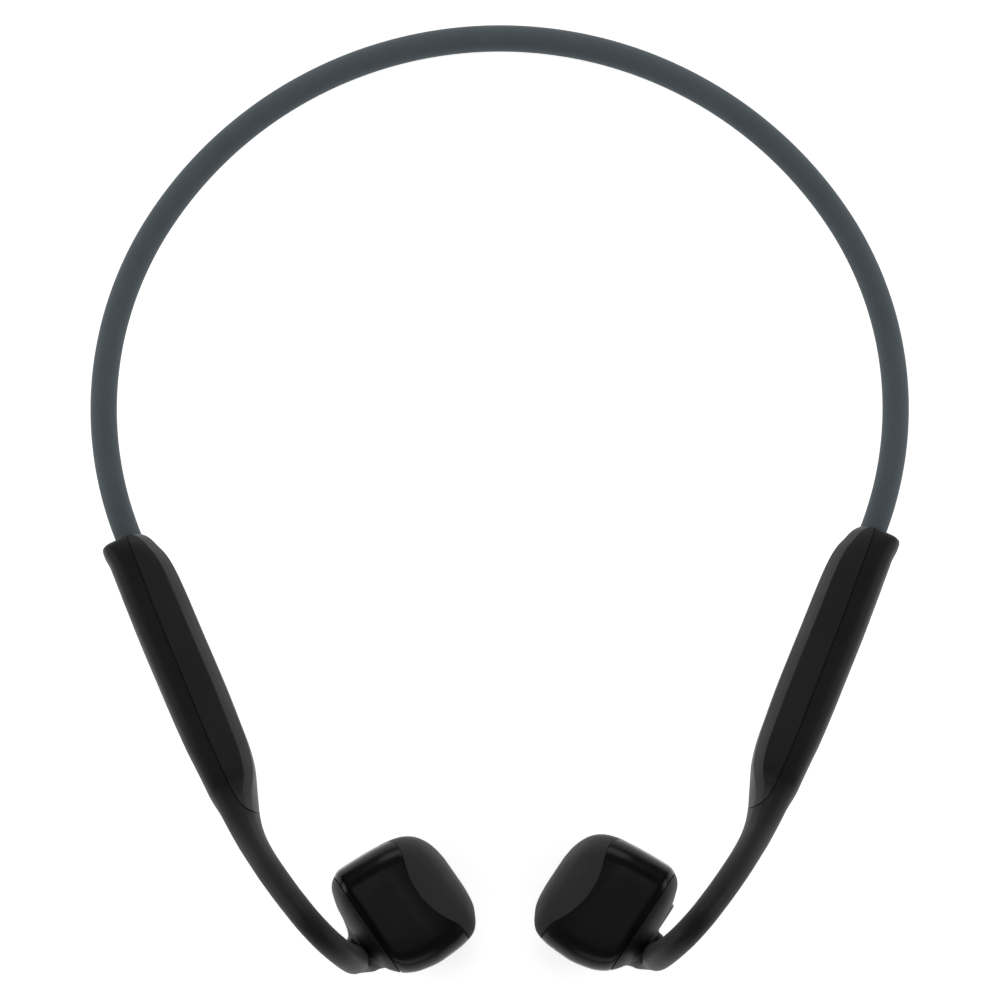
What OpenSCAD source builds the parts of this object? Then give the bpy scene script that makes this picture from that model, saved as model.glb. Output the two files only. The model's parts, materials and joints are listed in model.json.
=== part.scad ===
// Bone conduction headphones: an elastic neckband, a pod behind each ear, a hook over
// each ear and a sound head in front of it. The wearer faces -Y, +X is their left side,
// and the set rests on the two sound heads and the rear of the neckband at Z = 0.

/* [Neckband] */
// Radius of the rear arc, on the band's centreline
band_r_rear = 65.4; // [64:0.1:67]
// How much tighter the side arcs are than the rear arc
band_ease = 9; // [8:1:13]
// Distance of the band's rear centreline from the origin
band_rear_y = 74.45; // [74:0.05:75]
// Slope of the band's plane, up toward the pods
band_tilt = 8.5; // [7:0.1:10]
// Outside diameter of the silicone sleeve
sleeve_d = 4.3; // [4:0.1:4.6]
// Diameter of the spring wire inside the band
band_wire_d = 1.4; // [1:0.1:1.6]
// Diameter of the signal cable inside the band
band_cable_d = 0.9; // [0.6:0.1:1]

/* [Pods] */
// Height of a pod
pod_height = 12.7; // [12:0.1:13.4]
// Heading of a pod, inward from straight ahead
pod_heading = 22.7; // [22:0.1:24]
// Upward slope of a pod toward the front
pod_pitch = 9.5; // [8:0.5:11]
// Wall of the pod shells
pod_wall = 1.4; // [1.2:0.1:1.6]
// Lean of the parting surface from top to underside
seam_lean = 0.24; // [0.1:0.02:0.3]

/* [Hooks] */
// Scale of the arch height above the pod
arch_rise = 1; // [0.85:0.05:1.1]
// Diameter of the hook's spring wire
hook_wire_d = 1.3; // [1:0.1:1.4]
// Diameter of the hook's cable
hook_cable_d = 0.9; // [0.6:0.1:1]

/* [Sound heads] */
// Distance of a head's centre from the middle plane
head_x = 15.96; // [15.5:0.05:16.5]
// Distance of a head's centre ahead of the origin
head_y = 65.65; // [65:0.1:66]
// Height of a head
head_height = 21.8; // [21:0.1:22.4]
// Turn of the contact face toward the rear
head_turn = 34.2; // [32:0.2:38]

/* [Exciter] */
// Outside diameter of the magnet yoke
yoke_d = 14.4; // [13:0.1:15]
// Depth of the magnet yoke
yoke_h = 4.6; // [4:0.1:5]
// Diameter of the pole plate and magnet
pole_d = 10; // [9:0.1:10.2]
// Radial gap between coil and steel
coil_gap = 0.3; // [0.25:0.05:0.4]

/* [Controls] */
// Length of a volume key
key_len = 6.2; // [5.6:0.1:6.4]
// Width of a volume key
key_w = 2.6; // [2.2:0.1:2.8]
// Diameter of the multifunction button
mfb_d = 7; // [6:0.1:7.2]
// Clearance around each moving control
control_gap = 0.15; // [0.1:0.01:0.2]

/* [Hidden] */
RP = 13;
FINE = 96;
sleeve_r = sleeve_d / 2;
band_r_side = band_r_rear - band_ease;
band_sin = 0.8432;
band_cos = 0.5376;
band_a_rear = atan2(band_sin, band_cos);
pod_mouth_y = -6.12;
pod_mouth_x = -60.28;
pod_set = 0.1;
pod_base_z = sleeve_r + (band_rear_y - pod_mouth_y) * tan(band_tilt);
pod_b = pod_height / 2;
band_end = 61;
head_z = head_height / 2;
half_h = head_height / 2;
bore_gap = 0.06;
band_bore_r = sleeve_r + 0.2;
band_bore_v = 0.27;
band_bore_w = -0.05;
wire_off = -0.5;
cable_off = 1.0;
wire_extra = 4.5;
cable_extra = 5.5;
anchor_extra = 8;
hook_anchor_u = 39.5;
hook_anchor_len = 2.2;
hook_run_v = 0.15;
anchor_gap = 0.1;
board_v = 0.5;
board_t = 0.8;
control_v = -1.2;
under_w = -pod_b + 0.05;
port_u = 18.2;
port_pivot_u = 12.75;
port_cover_len = 10.9;
port_cover_w = 4;
port_cover_t = 1.1;
up_key_u = 29;
down_key_u = 36.4;
led_u = 24.75;
mfb_l = -2.6;
dish_r = 16;
dish_x = -1.3;
dish_y = 0.8;
spring_x = -5.5;
spring_t = 0.2;
bracket_x = 1.6;
post_r = 7.7;
yoke_x = -4.6;
stud_l = 0.7;
button_board_x = -6;
switch_x = -6.75;
mic_x = -0.3;
mic_y = -3.4;

// ---- frames ----------------------------------------------------------------

function ahead(h) = [sin(h), -cos(h), 0];
function inward(h) = [cos(h), sin(h), 0];
function along(h, p) = ahead(h) * cos(p) + [0, 0, sin(p)];
function above(h, p) = [0, 0, cos(p)] - ahead(h) * sin(p);
function unit(v) = v / norm(v);

pod_origin = [pod_mouth_x, pod_mouth_y, pod_base_z] + ahead(pod_heading) * pod_set;

// U runs forward along the pod, V toward the head and W up
module in_pod() {
  u = along(pod_heading, pod_pitch);
  v = inward(pod_heading);
  w = above(pod_heading, pod_pitch);
  multmatrix([[u[0], v[0], w[0], pod_origin[0]],
              [u[1], v[1], w[1], pod_origin[1]],
              [u[2], v[2], w[2], pod_origin[2]],
              [0, 0, 0, 1]]) children();
}

// X leaves the contact face, Y runs to the rear and Z up
module in_head() {
  translate([-head_x, -head_y, head_z]) rotate([0, 0, head_turn]) children();
}

module left() {
  mirror([1, 0, 0]) children();
}

// ---- sections --------------------------------------------------------------

// upper half of a pod's section, from the head side to the outer side
POD_TOP = [[1, 0], [1, 0.3], [0.995, 0.56], [0.84, 0.77], [0.66, 0.97], [0.4, 0.995],
  [0, 1], [-0.4, 0.995], [-0.66, 0.955], [-0.83, 0.86], [-0.94, 0.68], [-0.985, 0.4],
  [-1, 0]];

function top_at(i, m) = POD_TOP[i] * (1 - m) + [cos(15 * i), sin(15 * i)] * m;
function section(m) = concat(
  [for (i = [0:RP - 1]) top_at(i, m)],
  [for (i = [RP - 2:-1:1]) [top_at(i, m)[0], -top_at(i, m)[1]]]);

// a station is [centre, heading, pitch, half width, half height, roundness]
function station_ring(s, grow = 0) = [for (p = section(s[5]))
  s[0] + inward(s[1]) * p[0] * (s[3] + grow) + above(s[1], s[2]) * p[1] * (s[4] + grow)];

// pod stations: distance along, outer edge, inner edge, half height, roundness
POD = [[0, -3.95, 1.7, 0.74, 0], [0.3, -4.4, 2.3, 0.83, 0], [0.9, -4.55, 3, 0.9, 0],
  [1.8, -4.55, 3.6, 0.945, 0], [3.2, -4.4, 4.15, 0.975, 0], [4.7, -4.45, 4.75, 0.99, 0],
  [6.7, -4.5, 5.15, 1, 0], [9.5, -4.6, 5.3, 1, 0], [17, -4.76, 5.32, 1, 0],
  [27, -4.78, 5.33, 1, 0], [35, -4.66, 5.1, 0.99, 0], [38.6, -4.44, 4.9, 0.96, 0.02],
  [41.5, -4.3, 4.45, 0.92, 0.08], [43.7, -4.2, 3.8, 0.87, 0.2]];

// hook stations: x, y, height, heading, pitch, half width, half thickness, roundness
HOOK = [[-43.02, -48.31, 22.6, 27.3, 26, 3.4, 4.75, 0.4],
  [-42.05, -51.4, 25.1, 30.3, 38, 2.75, 3.9, 0.65],
  [-40.75, -54.42, 28.4, 33.3, 45, 2.4, 3.25, 0.85],
  [-38.94, -57.53, 32.6, 35.8, 47, 2.24, 2.85, 1],
  [-36.54, -61.03, 37.1, 37.8, 41, 2.22, 2.65, 1],
  [-33.84, -64.62, 40.7, 40.3, 29, 2.2, 2.55, 1],
  [-31.18, -67.88, 42.6, 42.3, 9, 2.2, 2.5, 1],
  [-28.92, -70.31, 42.2, 44.3, -20, 2.2, 2.5, 1],
  [-27.04, -72.06, 39.9, 45.3, -48, 2.2, 2.5, 1],
  [-25.66, -73.21, 36.2, 45.3, -68, 2.22, 2.5, 1],
  [-24.87, -73.81, 31.4, 45.3, -82, 2.25, 2.5, 1],
  [-24.57, -74.01, 26, 45.3, -88, 2.3, 2.5, 1],
  [-24.47, -74.06, 20.6, 45.3, -90, 2.35, 2.5, 1]];

function pod_station(p) = [
  pod_origin + along(pod_heading, pod_pitch) * p[0] / cos(pod_pitch)
    + inward(pod_heading) * (p[1] + p[2]) / 2,
  pod_heading, pod_pitch, (p[2] - p[1]) / 2, pod_b * p[3], p[4]];
function hook_z(z) = z < pod_base_z ? z : pod_base_z + (z - pod_base_z) * arch_rise;
function hook_station(h) = [[h[0], h[1], hook_z(h[2])], h[3], h[4], h[5], h[6], h[7]];

POD_S = [for (p = POD) pod_station(p)];
HOOK_S = [for (h = HOOK) hook_station(h)];

// one convex stretch between two rings with the same number of points
module stretch(a, b) {
  n = len(a);
  hull() polyhedron(
    points = concat(a, b),
    faces = concat([[for (i = [0:n - 1]) i]], [[for (i = [n - 1:-1:0]) n + i]],
      [for (i = [0:n - 1]) [(i + 1) % n, i, n + i, n + (i + 1) % n]]));
}

// the convex solid round several rings
module wrap(rings) {
  hull() loft(rings);
}

// one skin through rings that are all counter-clockwise about the way ahead
module loft(rings) {
  n = len(rings[0]);
  k = len(rings);
  polyhedron(
    points = [for (r = rings) each r],
    faces = concat([[for (i = [0:n - 1]) i]], [[for (i = [n - 1:-1:0]) (k - 1) * n + i]],
      [for (j = [0:k - 2]) for (i = [0:n - 1])
        let (a = j * n + i, b = j * n + (i + 1) % n) each [[b, a, a + n], [b, a + n, b + n]]]));
}

// ---- neckband --------------------------------------------------------------

// sweeps a section along the band; extra carries both ends further into the pods
module band_sweep(extra = 0) {
  far = 100;
  top = [band_sin, band_cos];
  c1 = [0, -band_r_rear];
  c2 = c1 + band_ease * top;
  last = 90 - band_a_rear - band_end - extra;
  translate([0, band_rear_y, sleeve_r]) rotate([-band_tilt, 0, 0]) {
    intersection() {
      translate(c1) rotate_extrude($fn = FINE) translate([band_r_rear, 0]) children();
      translate([0, 0, -far / 2]) linear_extrude(far)
        polygon([c1, c1 + far * top, [0, far], c1 + far * [-band_sin, band_cos]]);
    }
    for (side = [0, 1]) mirror([side, 0, 0]) intersection() {
      translate(c2) rotate_extrude($fn = FINE) translate([band_r_side, 0]) children();
      translate([0, 0, -far / 2]) linear_extrude(far)
        polygon([c2, c2 + far * [cos(last), sin(last)], c2 + far * [1, 0], c2 + far * top]);
    }
  }
}

module neckband_sleeve() {
  color("darkslategray") band_sweep(-1) difference() {
    circle(r = sleeve_r, $fn = 48);
    translate([wire_off, 0]) circle(r = band_wire_d / 2 + bore_gap, $fn = 24);
    translate([cable_off, 0]) circle(r = band_cable_d / 2 + bore_gap, $fn = 24);
  }
}

module neckband_wire() {
  color("silver") band_sweep(wire_extra)
    translate([wire_off, 0]) circle(r = band_wire_d / 2, $fn = 24);
}

module neckband_cable() {
  color("orangered") band_sweep(cable_extra)
    translate([cable_off, 0]) circle(r = band_cable_d / 2, $fn = 24);
}

// ---- pod and hook skins ----------------------------------------------------

// outline of the inner cover's side of the parting surface, as seen from above
SEAM = [[-3, 0], [4.5, -0.05], [10.5, -0.22], [18, -0.41], [26, -0.49], [40, -0.62],
  [44.5, -0.6], [46.6, -0.3], [48, 0.15], [49.2, 0.8], [50.2, 1.6], [52, 4], [52, 14],
  [-3, 14]];

module cover_side(gap = 0) {
  in_pod() multmatrix([[1, 0, 0, 0], [0, 1, -seam_lean, seam_lean * pod_b + gap],
                       [0, 0, 1, 0], [0, 0, 0, 1]])
    translate([0, 0, -pod_height]) linear_extrude(2 * pod_height) polygon(SEAM);
}

module arm_solid() {
  loft([for (s = concat(POD_S, HOOK_S)) station_ring(s)]);
  // neck that carries the sound head's outer cap
  stretch(station_ring(HOOK_S[12]), neck_ring(-9, 3.7, 5.4));
  stretch(neck_ring(-9, 3.7, 5.4), neck_ring(-7.6, 4, 5.8));
}

// an oval ring on the rear of the sound head, in the part's frame
function neck_ring(x, half_l, half_z) = [for (i = [0:23])
  head_point([x, -2.3 + half_l * cos(15 * i), 1 + half_z * sin(15 * i)])];
function head_point(p) = [
  -head_x + p[0] * cos(head_turn) - p[1] * sin(head_turn),
  -head_y + p[0] * sin(head_turn) + p[1] * cos(head_turn),
  head_z + p[2]];

// upright ribs inside a pod's wall, tapered toward the tip
module wall_ribs(places, root_v, tip_v) {
  in_pod() for (u = places) hull() {
    translate([u - 0.4, root_v, -1.6]) cube([0.8, 0.01, 4]);
    translate([u - 0.2, tip_v, -1.3]) cube([0.4, 0.01, 3.4]);
  }
}

module pod_cavity() {
  inside = [POD[3], POD[5], POD[7], POD[9], POD[11], POD[12]];
  wrap([for (p = inside) station_ring(pod_station(p), -pod_wall)]);
}

module band_mouth() {
  in_pod() translate([-2, band_bore_v, band_bore_w]) rotate([0, 90, 0]) rotate([0, 0, 4])
    cylinder(r = band_bore_r, h = 6, $fn = 32);
}

// rings of a thin run that stays square to its path
LEAN = [0.217, -0.288, 0.933];
function path_dir(p, i) = unit(p[min(i + 1, len(p) - 1)] - p[max(i - 1, 0)]);
function tube_ring(c, t, r) = let (e = unit(cross(t, LEAN)), f = cross(t, e))
  [for (k = [0:7]) c + r * (e * cos(45 * k) + f * sin(45 * k))];
function tube_rings(p, r) = [for (i = [0:len(p) - 1]) tube_ring(p[i], path_dir(p, i), r)];

function run_point(s, off) = s[0] + above(s[1], s[2]) * off;
function pod_run(first, off) = concat([for (i = [first:13]) run_point(POD_S[i], off)],
  [for (i = [0:12]) run_point(HOOK_S[i], off)]);
function wire_path(first) = concat(pod_run(first, 0.75),
  [[-24.47, -74.06, 17.4] + ahead(45) * 0.6]);
function cable_path(first) = concat(pod_run(first, -1),
  [head_point([-10.4, -2.1, 5.6]), head_point([-8.8, -2.2, 3.4]),
   head_point([-6.6, -2.3, 2.6])]);
run_start = 11;
bore_start = 12;

module hook_wire(r, first = run_start) {
  loft(tube_rings(wire_path(first), r));
}

module hook_cable(r, first = run_start) {
  loft(tube_rings(cable_path(first), r));
}

module arm_skin() {
  difference() {
    union() {
      difference() {
        arm_solid();
        pod_cavity();
        cover_side();
      }
      head_cap();
      wall_ribs([14:5:34], -3.65, -3.05);
    }
    cap_cavity();
    band_mouth();
    hook_wire(hook_wire_d / 2 + bore_gap, bore_start);
    hook_cable(hook_cable_d / 2 + bore_gap, bore_start);
  }
}

module inner_cover() {
  difference() {
    intersection() {
      loft([for (s = concat(POD_S, [HOOK_S[0], HOOK_S[1], HOOK_S[2]])) station_ring(s)]);
      cover_side(0.05);
    }
    pod_cavity();
    band_mouth();
    hook_wire(hook_wire_d / 2 + bore_gap, bore_start);
    hook_cable(hook_cable_d / 2 + bore_gap, bore_start);
  }
  wall_ribs([12:3:33], 4.15, 3.6);
}

module band_anchor() {
  difference() {
    in_pod() translate([6.8, -2.4, -2]) cube([4.2, 5, 4]);
    band_sweep(anchor_extra) {
      translate([wire_off, 0]) circle(r = band_wire_d / 2 + bore_gap, $fn = 24);
      translate([cable_off, 0]) circle(r = band_cable_d / 2 + bore_gap, $fn = 24);
    }
  }
}

// crimp block on the pod end of the hook's wire and cable
module hook_anchor() {
  in_pod() difference() {
    translate([hook_anchor_u, -1.9, -1.9]) cube([hook_anchor_len, 4.1, 3.6]);
    translate([hook_anchor_u - 1, hook_run_v, 0.75]) rotate([0, 90, 0])
      cylinder(r = hook_wire_d / 2 + anchor_gap, h = 5, $fn = 24);
    translate([hook_anchor_u - 1, hook_run_v, -1]) rotate([0, 90, 0])
      cylinder(r = hook_cable_d / 2 + anchor_gap, h = 5, $fn = 24);
  }
}

// ---- sound head ------------------------------------------------------------

// rounded rectangle ring across the head's axis, reaching back and front of its centre
function head_ring(x, back, front, half_z) =
  let (l = (back + front) / 2, mid = (back - front) / 2, r = min(4, l * 0.75))
  [for (q = [0:3]) for (k = [0:6]) let (a = 90 * q + 15 * k,
    sy = (q == 0 || q == 3) ? 1 : -1, sz = q < 2 ? 1 : -1)
    head_point([x, mid + sy * (l - r) + r * cos(a), sz * (half_z - r) + r * sin(a)])];

// head stations from the cap to the contact face: distance, reach back, front and up
HEAD = [[-9.55, 4.3, 2.4, 4.4], [-9.3, 6.1, 4, 6.3], [-8.9, 7.5, 5.4, 7.8],
  [-8.3, 9.05, 6.55, 9.1], [-7.6, 9.95, 7.5, 10], [-6.8, 10.5, 8.35, 10.6],
  [-5.6, 10.9, 9.2, 10.9], [-3.8, 10.85, 9.95, 10.9], [0, 10.6, 10.6, 10.9],
  [3.5, 10.15, 10.5, 10.6], [5.3, 9.65, 10.2, 10.25], [6.6, 8.95, 9.7, 9.75],
  [7.5, 8.15, 8.9, 9.15], [8.3, 7, 7.6, 8], [8.9, 5.6, 6.3, 6.6],
  [9.2, 4.4, 5, 5.2], [9.4, 2.8, 3, 3.2]];
LAST = len(HEAD) - 1;

function head_rings(a, b) =
  [for (i = [a:b]) head_ring(HEAD[i][0], HEAD[i][1], HEAD[i][2], HEAD[i][3] * half_h / 10.9)];

module head_cap() {
  loft(head_rings(0, 5));
}

module cap_cavity() {
  stretch(head_ring(-7.6, 8.1, 5.7, 8.2), head_ring(-6.7, 9, 6.9, 9.2));
}

module head_cavity() {
  wrap([head_ring(-6.9, 9, 6.9, 9.2), head_ring(-5.6, 9.45, 7.8, 9.5),
    head_ring(-3.8, 9.4, 8.5, 9.5), head_ring(-1.5, 9.25, 8.95, 9.5),
    head_ring(0.5, 9.1, 9.1, 9.45), head_ring(3.5, 8.7, 8.95, 9.15),
    head_ring(5.3, 8.2, 8.6, 8.8), head_ring(6.6, 7.5, 7.9, 8.1),
    head_ring(8, 5.4, 5.8, 5.9)]);
}

module dish(r) {
  in_head() translate([dish_x + dish_r, dish_y, 0]) sphere(r = r, $fn = 48);
}

module head_housing() {
  difference() {
    loft(concat([head_ring(-6.75, 10.47, 8.38, 10.62 * half_h / 10.9)], head_rings(6, 10)));
    head_cavity();
    dish(dish_r);
  }
}

module face_pad() {
  difference() {
    intersection() {
      loft(head_rings(8, LAST));
      dish(dish_r - 0.05);
    }
    head_cavity();
  }
}

module lying(x, r, h, fn = 64) {
  translate([x, 0, 0]) rotate([0, 90, 0]) cylinder(r = r, h = h, $fn = fn);
}

module coil_bracket() {
  in_head() difference() {
    union() {
      lying(bracket_x, 8.2, 1, FINE);
      lying(bracket_x - 0.6, pole_d / 2 + coil_gap + 0.8, 0.7, FINE);
      // posts up to the spring's rim
      for (q = [45:90:315]) rotate([q, 0, 0]) translate([spring_x + 0.25, post_r, -0.6])
        cube([bracket_x - spring_x - 0.2, 0.6, 1.2]);
    }
    lying(0.5, pole_d / 2 - 1, 3, FINE);
    rotate([70, 0, 0]) translate([0.5, 6.6, -0.6]) cube([3, 0.8, 1.2]);
  }
}

module voice_coil() {
  in_head() difference() {
    lying(-1.5, pole_d / 2 + coil_gap + 0.6, 2.5, FINE);
    lying(-2, pole_d / 2 + coil_gap, 4, FINE);
  }
}

module exciter_spring() {
  in_head() difference() {
    union() {
      lying(spring_x, 7.6, spring_t, FINE);
      for (q = [45:90:315]) rotate([q, 0, 0]) translate([spring_x, post_r - 0.6, -0.9])
        cube([spring_t, 1.3, 1.8]);
    }
    lying(spring_x - 1, 1.6, 3, 48);
    for (q = [0:120:240]) rotate([q, 0, 0]) {
      translate([spring_x - 1, 3, -4.2]) cube([3, 0.7, 8.4]);
      translate([spring_x - 1, 5.3, -3]) cube([3, 0.7, 6]);
    }
  }
}

module yoke() {
  in_head() {
    difference() {
      lying(yoke_x, yoke_d / 2, yoke_h, FINE);
      lying(yoke_x + 1, pole_d / 2 + 2 * coil_gap + 0.6, yoke_h, FINE);
    }
    lying(yoke_x - stud_l, 1.3, stud_l + 0.1, 48);
  }
}

module magnet() {
  in_head() lying(yoke_x + 1, pole_d / 2, 2.4);
}

module pole_plate() {
  in_head() lying(yoke_x + 3.4, pole_d / 2, 1);
}

// ---- right pod -------------------------------------------------------------

module pill(len, wid, h) {
  hull() for (s = [-1, 1]) translate([s * (len - wid) / 2, 0, 0])
    cylinder(d = wid, h = h, $fn = 32);
}

module at_under(u) {
  translate([u, control_v, under_w]) children();
}

module right_arm_skin() {
  color("dimgray") difference() {
    union() {
      arm_skin();
      // seat behind the charging port
      in_pod() translate([port_u - 6.6, control_v - 2.6, under_w + 0.9])
        cube([12.8, 5, 1.6]);
    }
    in_pod() {
      for (u = [up_key_u, down_key_u]) at_under(u) {
        translate([0, 0, -2]) pill(key_len + 2 * control_gap, key_w + 2 * control_gap, 6);
        translate([0, 0, 1.1]) pill(key_len + 1.4, key_w + 1.4, 3);
      }
      translate([port_pivot_u, control_v, under_w + port_cover_t / 2])
        rotate([90, 0, 0]) translate([0, 0, -port_cover_w / 2 - control_gap])
          cylinder(r = port_cover_t / 2 + control_gap, h = port_cover_w + 2 * control_gap,
            $fn = 32);
      // straight wall behind the hinge, so the cover can swing past square
      translate([port_pivot_u - port_cover_t / 2 - 2 * control_gap,
                 control_v - port_cover_w / 2 - control_gap, under_w - 1])
        cube([1, port_cover_w + 2 * control_gap, 1 + port_cover_t / 2]);
      translate([port_pivot_u, control_v - port_cover_w / 2 - control_gap, under_w - 1])
        cube([port_cover_len - 0.55 + control_gap, port_cover_w + 2 * control_gap,
          port_cover_t + 1 + control_gap]);
      translate([port_u, control_v, under_w]) pill(9.04, 3.36, 9);
      at_under(led_u) translate([0, 0, -1]) cylinder(d = 1.1, h = 4, $fn = 24);
    }
  }
}

module volume_key(u) {
  in_pod() at_under(u) {
    translate([0, 0, -0.35]) pill(key_len, key_w, 1.9);
    translate([0, 0, 1.4]) pill(key_len + 1, key_w + 1, 0.5);
  }
}

module port_cover() {
  color("black") in_pod() translate([port_pivot_u, control_v, under_w]) {
    translate([0, port_cover_w / 2, port_cover_t / 2]) rotate([90, 0, 0])
      cylinder(r = port_cover_t / 2, h = port_cover_w, $fn = 32);
    translate([0, -port_cover_w / 2, 0])
      cube([port_cover_len - 0.55, port_cover_w, port_cover_t]);
    translate([port_u - port_pivot_u, 0, port_cover_t]) pill(7.6, 2, 0.6);
  }
}

module main_board() {
  color("green") in_pod() translate([13, board_v, -3.7]) cube([25.8, board_t, 7.6]);
}

module on_board(u, w, size) {
  in_pod() translate([u, board_v + board_t, w]) cube(size);
}

module volume_switches() {
  color("gainsboro") in_pod() for (u = [up_key_u, down_key_u]) {
    translate([u - 1.6, control_v - 0.9, -3.7]) cube([3.2, board_v - control_v + 0.9, 1.6]);
    translate([u, control_v, -4]) cylinder(d = 1.2, h = 0.4, $fn = 24);
  }
}

module usb_c_shell() {
  color("silver") in_pod() translate([port_u, control_v, under_w + port_cover_t + 0.2])
    difference() {
      pill(8.94, 3.26, 7.3);
      translate([0, 0, -1]) pill(8.34, 2.66, 7.7);
    }
}

module usb_c_tongue() {
  color("black") in_pod() translate([port_u, control_v, under_w + port_cover_t + 1.1]) {
    translate([-3.3, -0.35, 0]) cube([6.6, 0.7, 5.6]);
    translate([0, 0, 5.1]) pill(8.3, 2.6, 0.6);
  }
}

module led_light_pipe() {
  color("white") in_pod() at_under(led_u) translate([0, 0, 0.1])
    cylinder(d = 1, h = 1.6, $fn = 24);
}

module antenna() {
  color("goldenrod") in_pod() difference() {
    translate([24, board_v, 4.05]) cube([14, 1.6, 0.3]);
    translate([26, board_v + 0.5, 3]) cube([10, 0.5, 3]);
  }
}

// ---- left pod --------------------------------------------------------------

module battery_cell() {
  color("lightsteelblue") in_pod() translate([12.6, -2.6, -3.9]) cube([22, 5.2, 7.8]);
}

module battery_foam() {
  color("gray") in_pod() translate([13.6, 2.65, -2.8]) cube([20.4, 0.7, 5.6]);
}

module protection_board() {
  color("green") in_pod() translate([35.6, -2.2, -3.4]) cube([0.8, 4.4, 6.8]);
}

module protection_chips() {
  color("black") in_pod() {
    translate([36.4, -1.4, 0.8]) cube([0.8, 2.4, 1.8]);
    translate([36.4, -1.2, -2.4]) cube([0.7, 1.8, 1.6]);
  }
}

module left_arm_skin() {
  color("dimgray") left() difference() {
    arm_skin();
    in_head() translate([-12, -mfb_l, 0]) lying(0, mfb_d / 2 + control_gap, 6);
  }
}

module multifunction_button() {
  color("darkgray") left() in_head() translate([0, -mfb_l, 0]) {
    lying(-9.75, mfb_d / 2, 2.3, FINE);
    lying(-7.55, mfb_d / 2 + 0.6, 0.35, FINE);
  }
}

module multifunction_switch() {
  color("gainsboro") left() in_head() translate([0, -mfb_l, 0]) {
    lying(switch_x, 0.8, 0.3, 32);
    translate([switch_x + 0.25, -1.8, -1.8]) cube([0.5, 3.6, 3.6]);
  }
}

module button_board() {
  color("green") left() in_head() translate([button_board_x, -mfb_l - 4, -4.5]) cube([0.3, 8, 9]);
}

// ---- voice pickup in the right head ----------------------------------------

module right_head_housing() {
  color("dimgray") difference() {
    head_housing();
    at_mic() cylinder(d = 1, h = 4, center = true, $fn = 24);
  }
}

module at_mic() {
  in_head() translate([mic_x, mic_y, -half_h]) children();
}

module microphone() {
  color("silver") at_mic() translate([-1.3, -1.7, 1.5]) cube([2.6, 3.4, 1.1]);
}

module microphone_mesh() {
  color("black") at_mic() translate([0, 0, 0.25]) cylinder(d = 0.9, h = 0.15, $fn = 24);
}

// ---- assembly --------------------------------------------------------------

neckband_sleeve();
neckband_wire();
neckband_cable();

right_arm_skin();
color("gray") inner_cover();  // right_inner_cover
color("tan") band_anchor();  // right_band_anchor
color("silver") hook_wire(hook_wire_d / 2);  // right_hook_wire
color("tan") hook_anchor();  // right_hook_anchor
color("orangered") hook_cable(hook_cable_d / 2);  // right_hook_cable
right_head_housing();
color("slategray") face_pad();  // right_face_pad
color("ivory") coil_bracket();  // right_coil_bracket
color("orange") voice_coil();  // right_voice_coil
color("lightgray") exciter_spring();  // right_exciter_spring
color("darkgray") yoke();  // right_yoke
color("silver") magnet();  // right_magnet
color("gray") pole_plate();  // right_pole_plate

left_arm_skin();
color("gray") left() inner_cover();  // left_inner_cover
color("tan") left() band_anchor();  // left_band_anchor
color("silver") left() hook_wire(hook_wire_d / 2);  // left_hook_wire
color("tan") left() hook_anchor();  // left_hook_anchor
color("orangered") left() hook_cable(hook_cable_d / 2);  // left_hook_cable
color("dimgray") left() head_housing();  // left_head_housing
color("slategray") left() face_pad();  // left_face_pad
color("ivory") left() coil_bracket();  // left_coil_bracket
color("orange") left() voice_coil();  // left_voice_coil
color("lightgray") left() exciter_spring();  // left_exciter_spring
color("darkgray") left() yoke();  // left_yoke
color("silver") left() magnet();  // left_magnet
color("gray") left() pole_plate();  // left_pole_plate

main_board();
color("black") on_board(26, -2.2, [5, 0.9, 5]);  // bluetooth_chip
color("black") on_board(33.5, -1.6, [3, 0.8, 3]);  // amplifier_chip
color("black") on_board(20.5, -2, [3, 0.7, 4]);  // flash_chip
color("silver") on_board(33.8, -3.5, [2, 0.6, 1.2]);  // crystal
volume_switches();
usb_c_shell();
usb_c_tongue();
led_light_pipe();
antenna();
color("black") volume_key(up_key_u);  // volume_up_key
color("black") volume_key(down_key_u);  // volume_down_key
port_cover();

left() battery_cell();
left() battery_foam();
left() protection_board();
left() protection_chips();
multifunction_button();
multifunction_switch();
button_board();
microphone();
microphone_mesh();
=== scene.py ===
"""Bone conduction headphones: the looks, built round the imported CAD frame."""

import json
import math

import bmesh
import bpy
import numpy as np
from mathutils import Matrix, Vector


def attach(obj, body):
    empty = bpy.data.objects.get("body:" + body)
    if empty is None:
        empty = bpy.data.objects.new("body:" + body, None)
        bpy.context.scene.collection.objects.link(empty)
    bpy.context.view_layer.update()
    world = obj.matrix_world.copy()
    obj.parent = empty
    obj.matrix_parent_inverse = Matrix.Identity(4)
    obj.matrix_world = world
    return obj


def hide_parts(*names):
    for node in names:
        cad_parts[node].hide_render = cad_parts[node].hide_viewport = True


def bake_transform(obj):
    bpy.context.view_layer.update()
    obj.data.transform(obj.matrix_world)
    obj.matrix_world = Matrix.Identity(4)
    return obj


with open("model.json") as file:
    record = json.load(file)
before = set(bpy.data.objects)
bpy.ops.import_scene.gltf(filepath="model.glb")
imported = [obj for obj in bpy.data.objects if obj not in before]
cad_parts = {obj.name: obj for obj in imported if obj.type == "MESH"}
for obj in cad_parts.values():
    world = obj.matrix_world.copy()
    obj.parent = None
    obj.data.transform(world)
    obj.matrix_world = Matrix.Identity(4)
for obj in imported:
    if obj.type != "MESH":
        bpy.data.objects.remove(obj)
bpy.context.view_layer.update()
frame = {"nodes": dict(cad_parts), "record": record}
MM = 0.001


def rad(a):
    return math.radians(a)


# ---------------------------------------------------------------- dimensions (mm, as in the CAD)

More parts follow.
